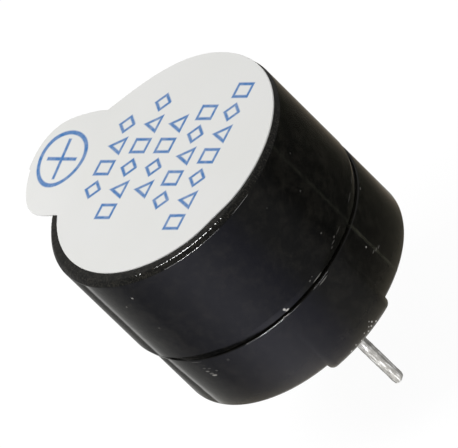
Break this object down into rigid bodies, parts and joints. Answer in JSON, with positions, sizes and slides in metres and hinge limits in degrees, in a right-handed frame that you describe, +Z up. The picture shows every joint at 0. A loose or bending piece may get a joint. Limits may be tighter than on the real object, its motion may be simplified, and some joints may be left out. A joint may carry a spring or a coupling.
{
  "type": "active buzzer",
  "caption": "Round sealed electromagnetic buzzer with its own drive circuit: black two-piece housing, pins for a printed board, and a wash-seal label over the sound hole.",
  "frame": {"origin": "centre of the seating plane under the standoff pads, midway between the pins", "axes": "+Z up through the sound hole, +X to the positive pin; the pins point along -Z"},
  "size_m": [0.0138, 0.012, 0.0147],
  "materials": {
    "label_film": "matte white film with blue print",
    "cap_plastic": "moulded black, semi-gloss",
    "base_plastic": "moulded black, semi-gloss",
    "resin": "cast black resin",
    "tinned_pin": "drawn and tinned",
    "solder": "bright solder",
    "spring_steel": "rolled foil",
    "soft_iron": "plated",
    "magnet": "moulded bonded ferrite",
    "enamelled_wire": "enamelled copper",
    "board": "solder mask on glass-epoxy",
    "chip_package": "moulded package"
  },
  "bodies": {
    "root": {"seal_label": "label_film", "top_cap": "cap_plastic", "base_shell": "base_plastic", "diaphragm": "spring_steel", "armature_disc": "soft_iron", "magnet_ring": "magnet", "pole_core": "soft_iron", "yoke_plate": "soft_iron", "coil_winding": "enamelled_wire", "lead_solder": "solder", "circuit_board": "board", "transistor": "chip_package", "resistor": "chip_package", "pin_solder": "solder", "positive_pin": "tinned_pin", "negative_pin": "tinned_pin", "potting_resin": "resin"}
  },
  "joints": []
}
